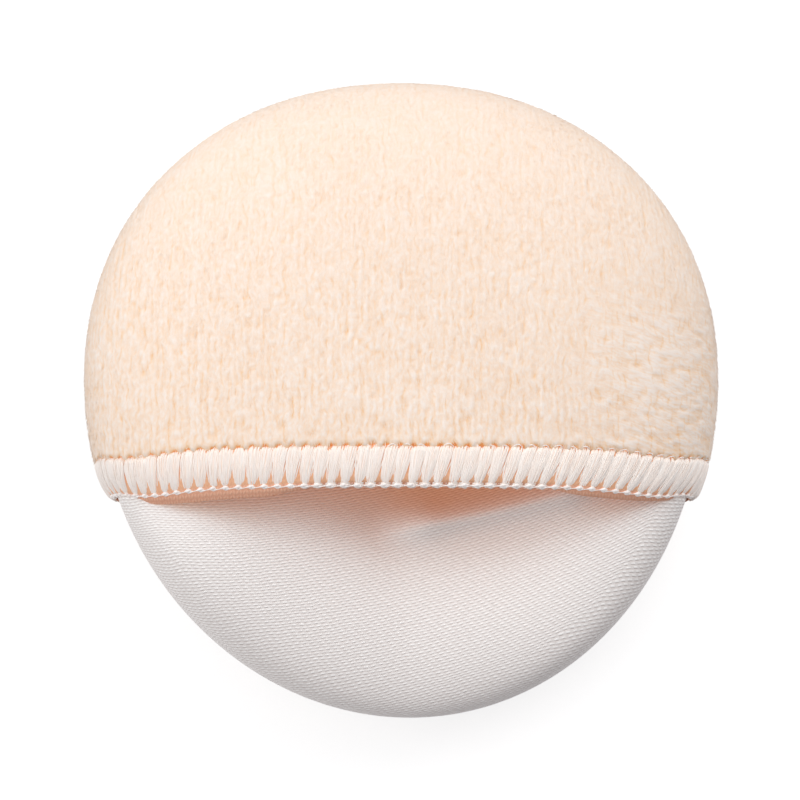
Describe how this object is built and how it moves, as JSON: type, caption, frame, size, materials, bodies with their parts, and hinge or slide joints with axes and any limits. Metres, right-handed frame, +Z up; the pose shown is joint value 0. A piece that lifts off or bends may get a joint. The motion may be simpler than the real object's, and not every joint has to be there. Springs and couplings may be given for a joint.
{
  "type": "powder puff",
  "caption": "Round padded powder puff with a velour face, a white satin back and a domed velour finger pocket whose straight mouth is overlocked in white.",
  "frame": {"origin": "middle of the flat on which the velour face rests, under the middle of the puff's length and width", "axes": "+Z up from the resting face to the pocket's crown, -Y towards the mouth of the finger pocket, +X to the right of someone who looks into the mouth"},
  "size_m": [0.08, 0.0812, 0.0305],
  "materials": {
    "face_velour": "short cut pile",
    "pocket_velour": "short cut pile, orange-peach knitted back",
    "satin": "white satin weave, slight sheen",
    "filling": "soft fibre wadding",
    "overlock_thread": "bulky white thread",
    "rim_thread": "plain white thread"
  },
  "bodies": {
    "root": {"face_velour": "face_velour", "filling_pad": "filling", "satin_back": "satin", "pocket_velour": "pocket_velour", "overlock_upper_looper": "overlock_thread", "overlock_lower_looper": "overlock_thread", "overlock_needle_thread": "overlock_thread", "rim_needle_thread": "rim_thread", "rim_bobbin_thread": "rim_thread"}
  },
  "joints": []
}
